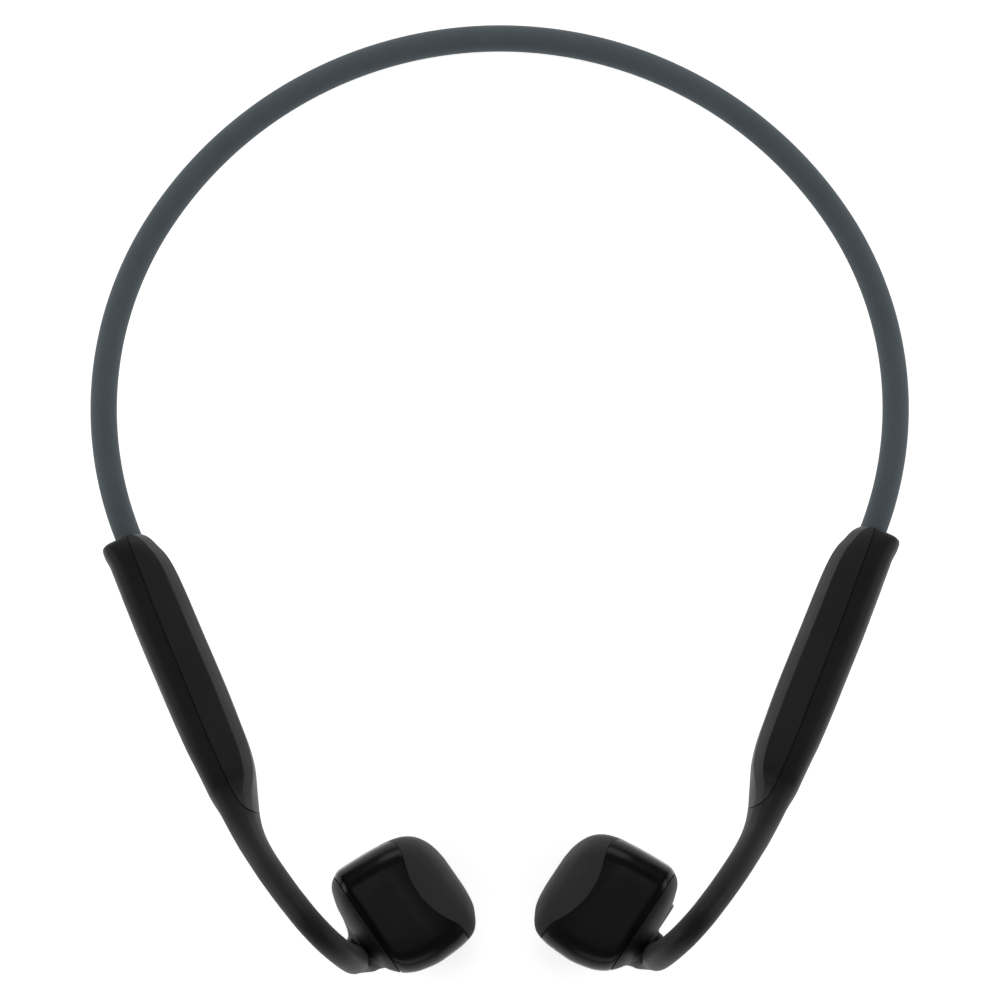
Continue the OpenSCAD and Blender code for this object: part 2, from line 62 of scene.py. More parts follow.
BAND_R_REAR, BAND_R_SIDE, BAND_Y, BAND_TILT = 65.4, 56.4, 74.45, 8.5
BAND_SIN, BAND_COS = 0.8432, 0.5376
SLEEVE_R, WIRE_R, CABLE_R, BORE_GAP = 2.15, 0.7, 0.45, 0.06
WIRE_OFF, CABLE_OFF = -0.5, 1.0
BAND_END, WIRE_EXTRA, CABLE_EXTRA = 61.0, 4.5, 5.5
BORE_R, BORE_V, BORE_W = 2.35, 0.27, -0.05
POD_B, POD_HEADING, POD_PITCH, POD_WALL, SEAM_LEAN = 6.35, 22.7, 9.5, 1.4, 0.24
MOUTH = (-60.28, -6.12)
BASE_Z = SLEEVE_R + (BAND_Y - MOUTH[1]) * math.tan(rad(BAND_TILT))
HEAD_X, HEAD_Y, HEAD_Z, HEAD_TURN = 15.96, 65.65, 10.9, 34.2
DISH_R, DISH_X, DISH_Y = 16.0, -1.3, 0.8
HOOK_WIRE_R, HOOK_CABLE_R = 0.65, 0.45
CONTROL_V, UNDER_W, GAP = -1.2, -6.3, 0.15
PORT_U, PIVOT_U, COVER_LEN, COVER_W, COVER_T = 18.2, 12.75, 10.9, 4.0, 1.1
UP_U, DOWN_U, LED_U, KEY_LEN, KEY_W = 29.0, 36.4, 24.75, 6.2, 2.6
MFB_L, MFB_D = 2.6, 7.0
MIC_X, MIC_Y = -0.3, -3.4
MIC_R, MIC_Z, LED_R = 0.5, (-12.9, -8.9), 0.55
GROOVE, COVER_GAP = 0.16, 0.05
NECK_L, NECK_Z = -2.3, 1
CAP_X, HOUSING_X, HOUSING_END = -6.9, -6.75, 5.3
FLAP_END = COVER_LEN - COVER_T / 2
SEAT, SEAT_DEPTH = ((-6.6, -2.3), (6.2, -2.3), (6.2, 2.4), (-6.6, 2.4)), (0.9, 2.5)
PORT_L, PORT_W = 9.04, 3.36
RECESS, RECESS_DEPTH = 1.4, (1.1, 4.1)
CAVITY_FROM, CAVITY_TO, MOUTH_DEPTH = 1.83, 42.07, 4.2
SEAM_REACH, SEAM_HALF = 14, 12.7

# where the hook leaves the pod: the averaged stretch, its run-in and run-out, and the averaging reach
BEND_START, BEND_STOP, BEND_IN, BEND_OUT = 36, 58, 5, 6
BEND_REACH, BEND_SPREAD = 4.5, 2.2
# the fillet at the neck: sharpest edge left alone, size of the place searched, reach and passes
FILLET_ANGLE, FILLET_NEAR, FILLET_REACH, FILLET_PASSES = 22, 9.5, 1.5, 24

# across, up and the place on the round section that the point turns into
POD_TOP = [(1, 0, 0), (1, 0.3, 1), (1, 0.48, 1.75), (0.995, 0.56, 2), (0.96, 0.605, 2.25), (0.84, 0.77, 3),
           (0.695, 0.927, 3.78), (0.66, 0.965, 4), (0.61, 0.975, 4.22), (0.4, 0.995, 5), (0, 1, 6),
           (-0.4, 0.995, 7), (-0.66, 0.955, 8), (-0.83, 0.86, 9), (-0.94, 0.68, 10), (-0.985, 0.4, 11),
           (-1, 0, 12)]
# along, outer and inner edge, height share, roundness
POD = [(0, -3.95, 1.7, 0.74, 0), (0.3, -4.4, 2.3, 0.83, 0), (0.9, -4.55, 3, 0.9, 0),
       (1.8, -4.55, 3.6, 0.945, 0), (3.2, -4.4, 4.15, 0.975, 0), (4.7, -4.45, 4.75, 0.99, 0),
       (6.7, -4.5, 5.15, 1, 0), (9.5, -4.6, 5.3, 1, 0), (17, -4.76, 5.32, 1, 0),
       (27, -4.78, 5.33, 1, 0), (35, -4.66, 5.1, 0.99, 0), (38.6, -4.44, 4.9, 0.96, 0),
       (41.5, -4.3, 4.45, 0.92, 0.03), (43.7, -4.2, 3.8, 0.87, 0.1)]
# x, y, z, heading, pitch, half width, half height, roundness
HOOK = [(-43.02, -48.31, 22.6, 27.3, 26, 3.4, 4.75, 0.22),
        (-42.05, -51.4, 25.1, 30.3, 38, 2.75, 3.9, 0.5),
        (-40.75, -54.42, 28.4, 33.3, 45, 2.4, 3.25, 0.8),
        (-38.94, -57.53, 32.6, 35.8, 47, 2.24, 2.85, 1),
        (-36.54, -61.03, 37.1, 37.8, 41, 2.22, 2.65, 1),
        (-33.84, -64.62, 40.7, 40.3, 29, 2.2, 2.55, 1),
        (-31.18, -67.88, 42.6, 42.3, 9, 2.2, 2.5, 1),
        (-28.92, -70.31, 42.2, 44.3, -20, 2.2, 2.5, 1),
        (-27.04, -72.06, 39.9, 45.3, -48, 2.2, 2.5, 1),
        (-25.66, -73.21, 36.2, 45.3, -68, 2.22, 2.5, 1),
        (-24.87, -73.81, 31.4, 45.3, -82, 2.25, 2.5, 1),
        (-24.57, -74.01, 26, 45.3, -88, 2.3, 2.5, 1),
        (-24.47, -74.06, 20.6, 45.3, -90, 2.35, 2.5, 1)]
# from the cap inward: place, reach to the back, reach to the front, half height
HEAD = [(-9.55, 4.3, 2.4, 4.4), (-9.3, 6.1, 4, 6.3), (-8.9, 7.5, 5.4, 7.8),
        (-8.3, 9.05, 6.55, 9.1), (-7.6, 9.95, 7.5, 10), (-6.8, 10.5, 8.35, 10.6),
        (-5.6, 10.9, 9.2, 10.9), (-3.8, 10.85, 9.95, 10.9), (0, 10.6, 10.6, 10.9),
        (3.5, 10.15, 10.5, 10.6), (5.3, 9.65, 10.2, 10.25), (6.6, 8.95, 9.7, 9.75),
        (7.5, 8.15, 8.9, 9.15), (8.3, 7, 7.6, 8), (8.9, 5.6, 6.3, 6.6),
        (9.2, 4.4, 5, 5.2), (9.4, 2.8, 3, 3.2)]
HEAD_IN = [(-6.9, 9, 6.9, 9.2), (-5.6, 9.45, 7.8, 9.5), (-3.8, 9.4, 8.5, 9.5),
           (-1.5, 9.25, 8.95, 9.5), (0.5, 9.1, 9.1, 9.45), (3.5, 8.7, 8.95, 9.15),
           (5.3, 8.2, 8.6, 8.8), (6.6, 7.5, 7.9, 8.1), (8, 5.4, 5.8, 5.9)]
# the parting line seen from above: along, across
SEAM = [(-3, 0), (4.5, -0.05), (10.5, -0.22), (18, -0.41), (26, -0.49), (40, -0.62),
        (44.5, -0.6), (46.6, -0.3), (48, 0.15), (49.2, 0.8), (50.2, 1.6), (52, 4)]


# ---------------------------------------------------------------- frames

def ahead(h):
    return np.array([math.sin(rad(h)), -math.cos(rad(h)), 0.0])


def inward(h):
    return np.array([math.cos(rad(h)), math.sin(rad(h)), 0.0])


def along(h, p):
    return ahead(h) * math.cos(rad(p)) + np.array([0, 0, math.sin(rad(p))])


def above(h, p):
    return np.array([0, 0, math.cos(rad(p))]) - ahead(h) * math.sin(rad(p))


POD_O = np.array([MOUTH[0], MOUTH[1], BASE_Z]) + ahead(POD_HEADING) * 0.1
POD_M = np.column_stack([along(POD_HEADING, POD_PITCH), inward(POD_HEADING),
                         above(POD_HEADING, POD_PITCH)])
HT = rad(HEAD_TURN)
HEAD_O = np.array([-HEAD_X, -HEAD_Y, HEAD_Z])
HEAD_M = np.array([[math.cos(HT), -math.sin(HT), 0], [math.sin(HT), math.cos(HT), 0], [0, 0, 1]])


def from_pod(p):
    return POD_O + np.asarray(p, float) @ POD_M.T


def from_head(p):
    return HEAD_O + np.asarray(p, float) @ HEAD_M.T


# ---------------------------------------------------------------- curve helpers

def pchip(x, y, q):
    """Monotone cubic through (x, y), read at q; y may have several columns."""
    x, y, q = np.asarray(x, float), np.asarray(y, float), np.asarray(q, float)
    one = y.ndim == 1
    y = y.reshape(len(x), -1)
    h = np.diff(x)[:, None]
    d = np.diff(y, axis=0) / h
    m = np.zeros_like(y)
    same = d[:-1] * d[1:] > 0
    w1, w2 = 2 * h[1:] + h[:-1], h[1:] + 2 * h[:-1]
    with np.errstate(divide="ignore", invalid="ignore"):
        inner = (w1 + w2) / (w1 / d[:-1] + w2 / d[1:])
    m[1:-1] = np.where(same, inner, 0)
    m[0], m[-1] = d[0], d[-1]
    i = np.clip(np.searchsorted(x, q, side="right") - 1, 0, len(x) - 2)
    t = ((q - x[i]) / h[i, 0])[:, None]
    out = ((2 * t**3 - 3 * t**2 + 1) * y[i] + (t**3 - 2 * t**2 + t) * h[i] * m[i]
           + (-2 * t**3 + 3 * t**2) * y[i + 1] + (t**3 - t**2) * h[i] * m[i + 1])
    return out[:, 0] if one else out


def spline(x, y, q):
    """Smooth cubic through (x, y) with slopes from neighbours, for paths."""
    x, y, q = np.asarray(x, float), np.asarray(y, float), np.asarray(q, float)
    h = np.diff(x)[:, None]
    d = np.diff(y, axis=0) / h
    m = np.zeros_like(y)
    m[1:-1] = (d[:-1] * h[1:] + d[1:] * h[:-1]) / (h[1:] + h[:-1])
    m[0], m[-1] = d[0], d[-1]
    i = np.clip(np.searchsorted(x, q, side="right") - 1, 0, len(x) - 2)
    t = ((q - x[i]) / h[i, 0])[:, None]
    return ((2 * t**3 - 3 * t**2 + 1) * y[i] + (t**3 - 2 * t**2 + t) * h[i] * m[i]
            + (-2 * t**3 + 3 * t**2) * y[i + 1] + (t**3 - t**2) * h[i] * m[i + 1])


def smoothstep(t):
    t = np.clip(t, 0, 1)
    return t ** 2 * (3 - 2 * t)


def chaikin(p, times):
    """Cuts the corners of a closed outline."""
    p = np.asarray(p, float)
    for _ in range(times):
        n = np.roll(p, -1, axis=0)
        p = np.stack([0.75 * p + 0.25 * n, 0.25 * p + 0.75 * n], axis=1).reshape(-1, 2)
    return p


# ---------------------------------------------------------------- mesh helpers

def mesh_object(name, verts, faces, left=False):
    """A mesh from millimetre points; the left side is the mirror image."""
    v = np.asarray(verts, float) * MM
    if left:
        v = v * np.array([-1, 1, 1])
        faces = [tuple(reversed(f)) for f in faces]
    me = bpy.data.meshes.new(name)
    me.from_pydata([tuple(p) for p in v], [], [tuple(int(i) for i in f) for f in faces])
    me.validate()
    o = bpy.data.objects.new(name, me)
    bpy.context.scene.collection.objects.link(o)
    bm = bmesh.new()
    bm.from_mesh(me)
    bmesh.ops.recalc_face_normals(bm, faces=bm.faces)
    bm.to_mesh(me)
    bm.free()
    return o


def loft(name, rings, left=False):
    """A closed solid through matching rings, with a fan over each end."""
    rings = [np.asarray(r, float) for r in rings]
    n, k = len(rings[0]), len(rings)
    verts = np.concatenate(rings)
    faces = [(j * n + i, j * n + (i + 1) % n, (j + 1) * n + (i + 1) % n, (j + 1) * n + i)
             for j in range(k - 1) for i in range(n)]
    for ring, start in ((rings[0], 0), (rings[-1], (k - 1) * n)):
        c = len(verts)
        verts = np.concatenate([verts, ring.mean(axis=0)[None]])
        faces += [(start + i, start + (i + 1) % n, c) for i in range(n)]
    return mesh_object(name, verts, faces, left)


def prism(name, rings, left=False):
    """A straight-sided solid between two matching outlines."""
    n = len(rings[0])
    faces = [(i, (i + 1) % n, n + (i + 1) % n, n + i) for i in range(n)]
    faces += [tuple(range(n)), tuple(range(n, 2 * n))]
    return mesh_object(name, np.concatenate(rings), faces, left)


def boolean(o, cutter, how="DIFFERENCE"):
    """Cuts, joins or crosses o with the cutter, which is used up."""
    m = o.modifiers.new("cut", "BOOLEAN")
    m.operation, m.object, m.solver = how, cutter, "EXACT"
    bpy.context.view_layer.update()
    dg = bpy.context.evaluated_depsgraph_get()
    me = bpy.data.meshes.new_from_object(o.evaluated_get(dg))
    o.modifiers.clear()
    old, name = o.data, o.data.name
    o.data = me
    bpy.data.meshes.remove(old)
    me.name = name
    drop(cutter)
    return o


def drop(o):
    me = o.data
    bpy.data.objects.remove(o)
    bpy.data.meshes.remove(me)


def clean(o, angle=32, dist=0.004):
    """Merges the slivers that the cuts leave, then shades smooth with edges sharp past the angle."""
    bm = bmesh.new()
    bm.from_mesh(o.data)
    bmesh.ops.remove_doubles(bm, verts=bm.verts, dist=dist * MM)
    bmesh.ops.dissolve_degenerate(bm, edges=bm.edges, dist=dist * MM * 0.5)
    loose = [v for v in bm.verts if not v.link_faces]
    bmesh.ops.delete(bm, geom=loose, context="VERTS")
    bm.to_mesh(o.data)
    bm.free()
    smooth(o, angle)
    return o


def smooth(o, angle=32):
    o.data.shade_smooth()
    o.data.set_sharp_from_angle(angle=rad(angle))


def revolve(name, profile, place, left=False, n=96):
    """A closed turned solid; profile is (axial, radius) pairs and place maps local points."""
    rings = []
    a = np.linspace(0, 2 * math.pi, n, endpoint=False)
    for x, r in profile:
        rings.append(place(np.column_stack([np.full(n, x), r * np.cos(a), r * np.sin(a)])))
    return loft(name, rings, left)


def pill_ring(length, width, n=16):
    """A slot outline: two half circles and two straights."""
    r = width / 2
    c = (length - width) / 2
    a = np.linspace(-math.pi / 2, math.pi / 2, n)
    right = np.column_stack([c + r * np.cos(a), r * np.sin(a)])
    return np.concatenate([right, -right])


def under(u, v, ring, depth):
    """A ring of (along, across) points on the pod's underside; depth is upward from the skin."""
    level = np.full(len(ring), UNDER_W + depth)
    return from_pod(np.column_stack([u + ring[:, 0], v + ring[:, 1], level]))


TURN48 = np.linspace(0, 2 * math.pi, 48, endpoint=False)
DISC = np.column_stack([np.cos(TURN48), np.sin(TURN48)])


# ---------------------------------------------------------------- arm and pod skins

def base_section(m):
    """The pod's section (m = 0) or a round one (m = 1), one unit in half width and half height."""
    top = [((1 - m) * x + m * math.cos(rad(15 * i)), (1 - m) * y + m * math.sin(rad(15 * i)))
           for x, y, i in POD_TOP]
    pts = top + [(x, -y) for x, y in reversed(top[1:-1])]
    return chaikin(pts, 2)


def stations():
    rows = []
    for u, lo, hi, h, m in POD:
        c = (POD_O + along(POD_HEADING, POD_PITCH) * u / math.cos(rad(POD_PITCH))
             + inward(POD_HEADING) * (lo + hi) / 2)
        rows.append([*c, POD_HEADING, POD_PITCH, (hi - lo) / 2, POD_B * h, m])
    return np.array(rows + [list(h) for h in HOOK], float)


ST = stations()
ARC = np.concatenate([[0], np.cumsum(np.linalg.norm(np.diff(ST[:, :3], axis=0), axis=1))])
SECTION = {0.0: base_section(0.0), 1.0: base_section(1.0)}


def arm_ring(row, grow=0.0):
    """The section at one station, grown or shrunk all round."""
    m = min(max(row[7], 0), 1)
    sec = SECTION[0.0] * (1 - m) + SECTION[1.0] * m
    a, w = inward(row[3]), above(row[3], row[4])
    wide, high = row[5] + grow, row[6] + grow
    return row[:3] + np.outer(sec[:, 0] * wide, a) + np.outer(sec[:, 1] * high, w)


def arm_rows(q):
    """Stations read along the arm, averaged where the hook leaves the pod."""
    q = np.asarray(q, float)
    rows = pchip(ARC, ST, q)
    shift = np.linspace(-BEND_REACH, BEND_REACH, 13)
    weight = np.exp(-(shift / BEND_SPREAD) ** 2)
    soft = sum(w * pchip(ARC, ST, np.clip(q + d, 0, ARC[-1])) for w, d in zip(weight, shift))
    soft = soft / weight.sum()
    start, stop = smoothstep((q - BEND_START) / BEND_IN), smoothstep((q - BEND_STOP) / BEND_OUT)
    share = (start * (1 - stop))[:, None]
    rows[:, 3:7] = rows[:, 3:7] * (1 - share) + soft[:, 3:7] * share
    rows[:, :3] = spline(ARC, ST[:, :3], q)
    return rows


def steps(a, b, size):
    return np.linspace(a, b, max(2, int(round((b - a) / size)) + 1))


STEP = 0.55
MOUTH_Q = [0, 0.06, 0.15, 0.3, 0.45, 0.6, 0.9, 1.3, 1.8, 2.4, 3.0]
ARM_Q = np.concatenate([MOUTH_Q, steps(3.6, ARC[-1], STEP)])


def neck_ring(x, half_l, half_z, n):
    a = np.linspace(0, 2 * math.pi, n, endpoint=False)
    return from_head(np.column_stack([np.full(n, x), NECK_L + half_l * np.cos(a),
                                      NECK_Z + half_z * np.sin(a)]))


def aligned(ring, to):
    """Turns and, if need be, reverses a ring's order so its points face the other ring's."""
    best, pick = None, None
    c1, c2 = ring.mean(axis=0), to.mean(axis=0)
    for r in (ring, ring[::-1]):
        for k in range(0, len(r)):
            s = np.roll(r, k, axis=0)
            d = float((((s - c1) - (to - c2)) ** 2).sum())
            if best is None or d < best:
                best, pick = d, s
    return pick


def arm_rings():
    """Rings from the pod's mouth to the cap, the last stretch bending round into the neck."""
    rings = [arm_ring(r) for r in arm_rows(ARM_Q)]
    n = len(rings[0])
    a = aligned(neck_ring(-9, 3.7, 5.4, n), rings[-1])
    b = aligned(neck_ring(-7.6, 4, 5.8, n), a)
    last = rings[-1]
    c0, c1 = last.mean(axis=0), a.mean(axis=0)
    t0 = np.array([0, 0, -1.0])
    t1 = from_head([0, 0, 0]) - from_head([-1, 0, 0])
    reach = np.linalg.norm(c1 - c0) * 0.9
    for t in np.linspace(0, 1, 12)[1:]:
        h00, h10 = 2 * t**3 - 3 * t**2 + 1, t**3 - 2 * t**2 + t
        h01, h11 = -2 * t**3 + 3 * t**2, t**3 - t**2
        c = h00 * c0 + h10 * t0 * reach + h01 * c1 + h11 * t1 * reach
        s = t * t * (3 - 2 * t)
        rings.append(c + (1 - s) * (last - c0) + s * (a - c1))
    rings.append(b)
    return rings


def seam_prism(name, shift, left, thick=None):
    """The inner cover's side of the parting surface; with thick, only a sheet round the surface."""
    first, last = SEAM[0][0], SEAM[-1][0]
    u = np.concatenate([[first], steps(-2.5, 50.2, 0.6), [last]])
    v = pchip([p[0] for p in SEAM], [p[1] for p in SEAM], u)
    line = np.column_stack([u, v])
    if thick:
        d = np.gradient(line, axis=0)
        nrm = np.column_stack([-d[:, 1], d[:, 0]])
        nrm /= np.linalg.norm(nrm, axis=1)[:, None]
        ring = np.concatenate([line - nrm * thick / 2, (line + nrm * thick / 2)[::-1]])
    else:
        ring = np.concatenate([line, [(last, SEAM_REACH), (first, SEAM_REACH)]])
    rings = []
    for w in (-SEAM_HALF, SEAM_HALF):
        lean = -SEAM_LEAN * w + SEAM_LEAN * POD_B + shift
        rings.append(from_pod(np.column_stack([ring[:, 0], ring[:, 1] + lean, np.full(len(ring), w)])))
    return prism(name, rings, left)


def pod_core(name, grow, left, stop=56):
    """The pod and the start of the hook, grown or shrunk."""
    return loft(name, [arm_ring(r, grow) for r in arm_rows(ARM_Q[ARM_Q <= stop])], left)


def cavity(name, left):
    """The hollow of the pod, one wall inside its skin."""
    q = np.concatenate([[CAVITY_FROM], steps(2.4, CAVITY_TO, STEP)])
    return loft(name, [arm_ring(r, -POD_WALL) for r in arm_rows(q)], left)


def mouth_hole(name, left):
    """The bore that takes the end of the band."""
    hole = np.array([BORE_V, BORE_W]) + BORE_R * DISC
    rings = [from_pod(np.column_stack([np.full(len(hole), u), hole])) for u in (-2, MOUTH_DEPTH)]
    return loft(name, rings, left)


def tube_along(path, r, n=16):
    """Rings of a thin run that stays square to its path."""
    path = np.asarray(path, float)
    t = np.gradient(path, axis=0)
    t /= np.linalg.norm(t, axis=1)[:, None]
    lean = np.array([0.217, -0.288, 0.933])
    a = np.linspace(0, 2 * math.pi, n, endpoint=False)
    rings = []
    for c, d in zip(path, t):
        e = np.cross(d, lean)
        e /= np.linalg.norm(e)
        f = np.cross(d, e)
        rings.append(c + r * (np.outer(np.cos(a), e) + np.outer(np.sin(a), f)))
    return rings


def inner_run(off, tail):
    """A path inside the hook, off its middle, from the pod to the head."""
    rows = ST[11:]
    pts = [r[:3] + above(r[3], r[4]) * off for r in rows] + tail
    pts = np.array(pts)
    s = np.concatenate([[0], np.cumsum(np.linalg.norm(np.diff(pts, axis=0), axis=1))])
    return spline(s, pts, steps(0, s[-1], 0.8))


WIRE_RUN = inner_run(0.75, [np.array([-24.47, -74.06, 17.4]) + ahead(45) * 0.6])
CABLE_RUN = inner_run(-1, [from_head([-10.4, -2.1, 5.6]), from_head([-8.8, -2.2, 3.4]),
                           from_head([-6.6, -2.3, 2.6])])


# ---------------------------------------------------------------- sound head

def head_section(x, back, front, half_z, fine=10):
    """A rounded rectangle across the head, the same point count at every size."""
    half, mid = (back + front) / 2, (back - front) / 2
    r = min(4.0, half * 0.75)
    pts = []
    for q, (sy, sz) in enumerate(((1, 1), (-1, 1), (-1, -1), (1, -1))):
        for k in range(fine + 1):
            a = rad(90 * q + 90 * k / fine)
            pts.append((mid + sy * (half - r) + r * math.cos(a), sz * (half_z - r) + r * math.sin(a)))
        nxt = ((-1, 1), (-1, -1), (1, -1), (1, 1))[q]
        end = rad(90 * (q + 1))
        b = (mid + nxt[0] * (half - r) + r * math.cos(end),
             nxt[1] * (half_z - r) + r * math.sin(end))
        a0 = pts[-1]
        for t in (0.2, 0.4, 0.6, 0.8):
            pts.append((a0[0] + (b[0] - a0[0]) * t, a0[1] + (b[1] - a0[1]) * t))
    pts = np.array(pts)
    return from_head(np.column_stack([np.full(len(pts), x), pts]))


def head_rows(table, xs):
    t = np.array(table, float)
    return np.column_stack([xs, pchip(t[:, 0], t[:, 1:], np.array(xs, float))])


def head_loft(name, table, x0, x1, left, grow=0.0, size=0.3):
    """A stretch of the head between two places along its axis."""
    xs = list(steps(x0, x1, size))
    t = np.array(table, float)
    for x in t[:, 0]:
        if x0 < x < x1 and min(abs(x - y) for y in xs) > 0.08:
            xs.append(x)
    xs = sorted(xs)
    rings = [head_section(r[0], r[1] + grow, r[2] + grow, r[3] + grow) for r in head_rows(table, xs)]
    return loft(name, rings, left)


def crown_loft(name, first, last, left):
    """A stretch of the head that follows its table closely round the crowned ends."""
    t = np.array(HEAD[first:last + 1], float)
    arc = np.concatenate([[0], np.cumsum(np.linalg.norm(np.diff(t[:, :2], axis=0), axis=1))])
    rows = pchip(arc, t, steps(0, arc[-1], 0.35))
    return loft(name, [head_section(*r) for r in rows], left)


def ball(name, r, left, turns=96):
    """The sphere whose surface parts the pad from the housing."""
    rings = []
    a = np.linspace(0, 2 * math.pi, turns, endpoint=False)
    for t in np.linspace(0.02, math.pi - 0.02, turns // 2):
        x, s = DISH_X + DISH_R - r * math.cos(t), r * math.sin(t)
        rings.append(from_head(np.column_stack([np.full(turns, x), DISH_Y + s * np.cos(a),
                                                s * np.sin(a)])))
    return loft(name, rings, left)


def head_slab(name, x0, x1, left, reach=14):
    """A square slab across the head's axis."""
    sq = np.array([(-reach, -reach), (reach, -reach), (reach, reach), (-reach, reach)], float)
    rings = [from_head(np.column_stack([np.full(4, x), sq])) for x in (x0, x1)]
    return loft(name, rings, left)


# ---------------------------------------------------------------- the pieces of one side

def soften_junction(o, left):
    """A small fillet where the neck runs into the cap."""
    bm = bmesh.new()
    bm.from_mesh(o.data)
    bm.normal_update()
    flip = -1.0 if left else 1.0
    mid = from_head([-8.6, NECK_L, NECK_Z]) * MM
    mid[0] *= flip
    mid = Vector(mid)
    seed = [e for e in bm.edges if len(e.link_faces) == 2
            and e.calc_face_angle_signed(0) < -rad(FILLET_ANGLE)
            and ((e.verts[0].co + e.verts[1].co) / 2 - mid).length < FILLET_NEAR * MM]
    near = {}
    front = {v for e in seed for v in e.verts}
    for v in front:
        near[v] = 0.0
    for _ in range(40):
        grown = {}
        for v in front:
            for e in v.link_edges:
                w = e.other_vert(v)
                d = near[v] + e.calc_length()
                if d < FILLET_REACH * MM and d < near.get(w, 1e9):
                    near[w] = d
                    grown[w] = d
        front = set(grown)
        if not front:
            break
    vs = list(near)
    for _ in range(FILLET_PASSES):
        bmesh.ops.smooth_vert(bm, verts=vs, factor=0.5, use_axis_x=True, use_axis_y=True, use_axis_z=True)
    bm.to_mesh(o.data)
    bm.free()


def pocket_pill(name, u, length, width, d0, d1):
    ring = pill_ring(length, width)
    return loft(name, [under(u, CONTROL_V, ring, d0), under(u, CONTROL_V, ring, d1)])


def cut_bores(o, left):
    """The band's mouth and the bores of the hook's wire and cable."""
    boolean(o, mouth_hole("c", left))
    boolean(o, loft("c", tube_along(WIRE_RUN[3:], HOOK_WIRE_R + BORE_GAP), left))
    boolean(o, loft("c", tube_along(CABLE_RUN[3:], HOOK_CABLE_R + BORE_GAP), left))


def cut_lip(o, x0, x1, left):
    """The groove round the head where the cap meets the housing."""
    boolean(o, boolean(head_slab("g", x0, x1, left), head_loft("h", HEAD, -7.4, -6, left, -GROOVE)))


def cut_seam(o, shift, left):
    """The parting groove between the arm's skin and the inner cover."""
    boolean(o, boolean(seam_prism("g", shift, left, thick=GROOVE), pod_core("h", -GROOVE, left)))


def make_arm(side):
    """The outer pod half, the hook, the neck and the cap, as one skin."""
    left = side == "left"
    arm = loft(side + "_arm_shell", arm_rings(), left)
    boolean(arm, seam_prism("c", 0, left))
    boolean(arm, crown_loft("cap", 0, 5, left), "UNION")
    soften_junction(arm, left)
    boolean(arm, cavity("c", left))
    cut_seam(arm, 0, left)
    cut_lip(arm, CAP_X, -6.5, left)
    cap_in = loft("c", [head_section(-7.6, 8.1, 5.7, 8.2), head_section(-6.7, 9, 6.9, 9.2)], left)
    boolean(arm, cap_in)
    cut_bores(arm, left)
    if side == "right":
        seat = [from_pod([[PORT_U + a, CONTROL_V + b, UNDER_W + w] for a, b in SEAT])
                for w in SEAT_DEPTH]
        boolean(arm, loft("c", seat), "UNION")
        for u in (UP_U, DOWN_U):
            boolean(arm, pocket_pill("c", u, KEY_LEN + 2 * GAP, KEY_W + 2 * GAP, -2, 4))
            boolean(arm, pocket_pill("c", u, KEY_LEN + RECESS, KEY_W + RECESS, *RECESS_DEPTH))
        boolean(arm, port_pocket("c"))
        boolean(arm, pocket_pill("c", PORT_U, PORT_L, PORT_W, 0, 9))
        boolean(arm, loft("c", [under(LED_U, CONTROL_V, LED_R * DISC, d) for d in (-1, 3)]))
    else:
        boolean(arm, button_hole("c", left))
    clean(arm)
    return arm


def port_pocket(name):
    """The recess that the port cover lies in, with a rounded end at its hinge."""
    r, y = COVER_T / 2 + GAP, COVER_W / 2 + GAP
    arc = [(r * math.cos(a), r * math.sin(a)) for a in np.linspace(math.pi * 0.5, math.pi * 1.5, 14)]
    far = FLAP_END + GAP
    outline = [(x, z) for x, z in arc if z > -0.01]
    outline += [(-r - GAP, -0.02), (-r - GAP, -2), (far, -2), (far, r)]
    rings = [from_pod([[PIVOT_U + x, CONTROL_V + v, UNDER_W + COVER_T / 2 + z] for x, z in outline])
             for v in (-y, y)]
    return prism(name, rings)


def from_button(p):
    return from_head(p + np.array([0, MFB_L, 0]))


def button_hole(name, left):
    return revolve(name, [(-12, MFB_D / 2 + GAP), (-7, MFB_D / 2 + GAP)], from_button, left)


def make_cover(side):
    """The chamfered cover on the head side of a pod."""
    left = side == "left"
    cover = pod_core(side + "_inner_cover_shell", 0, left, stop=ARC[len(POD) + 2])
    boolean(cover, seam_prism("c", COVER_GAP, left), "INTERSECT")
    boolean(cover, cavity("c", left))
    cut_seam(cover, 0.02, left)
    cut_bores(cover, left)
    return clean(cover)


def make_head(side):
    """The housing of a sound head and the pad on its face."""
    left = side == "left"
    body = head_loft(side + "_head_shell", HEAD, HOUSING_X, HOUSING_END, left)
    boolean(body, head_loft("c", HEAD_IN, CAP_X, 8, left))
    boolean(body, ball("c", DISH_R, left))
    cut_lip(body, CAP_X, -6.66, left)
    if side == "right":
        across = np.array([MIC_X, MIC_Y]) + MIC_R * DISC
        hole = [from_head(np.column_stack([across, np.full(len(across), z)])) for z in MIC_Z]
        boolean(body, loft("c", hole))
    clean(body)
    pad = crown_loft(side + "_contact_pad", 8, len(HEAD) - 1, left)
    boolean(pad, ball("c", DISH_R - 0.1, left), "INTERSECT")
    boolean(pad, head_loft("c", HEAD_IN, CAP_X, 8, left))
    clean(pad, 50)
    return body, pad


# ---------------------------------------------------------------- neckband

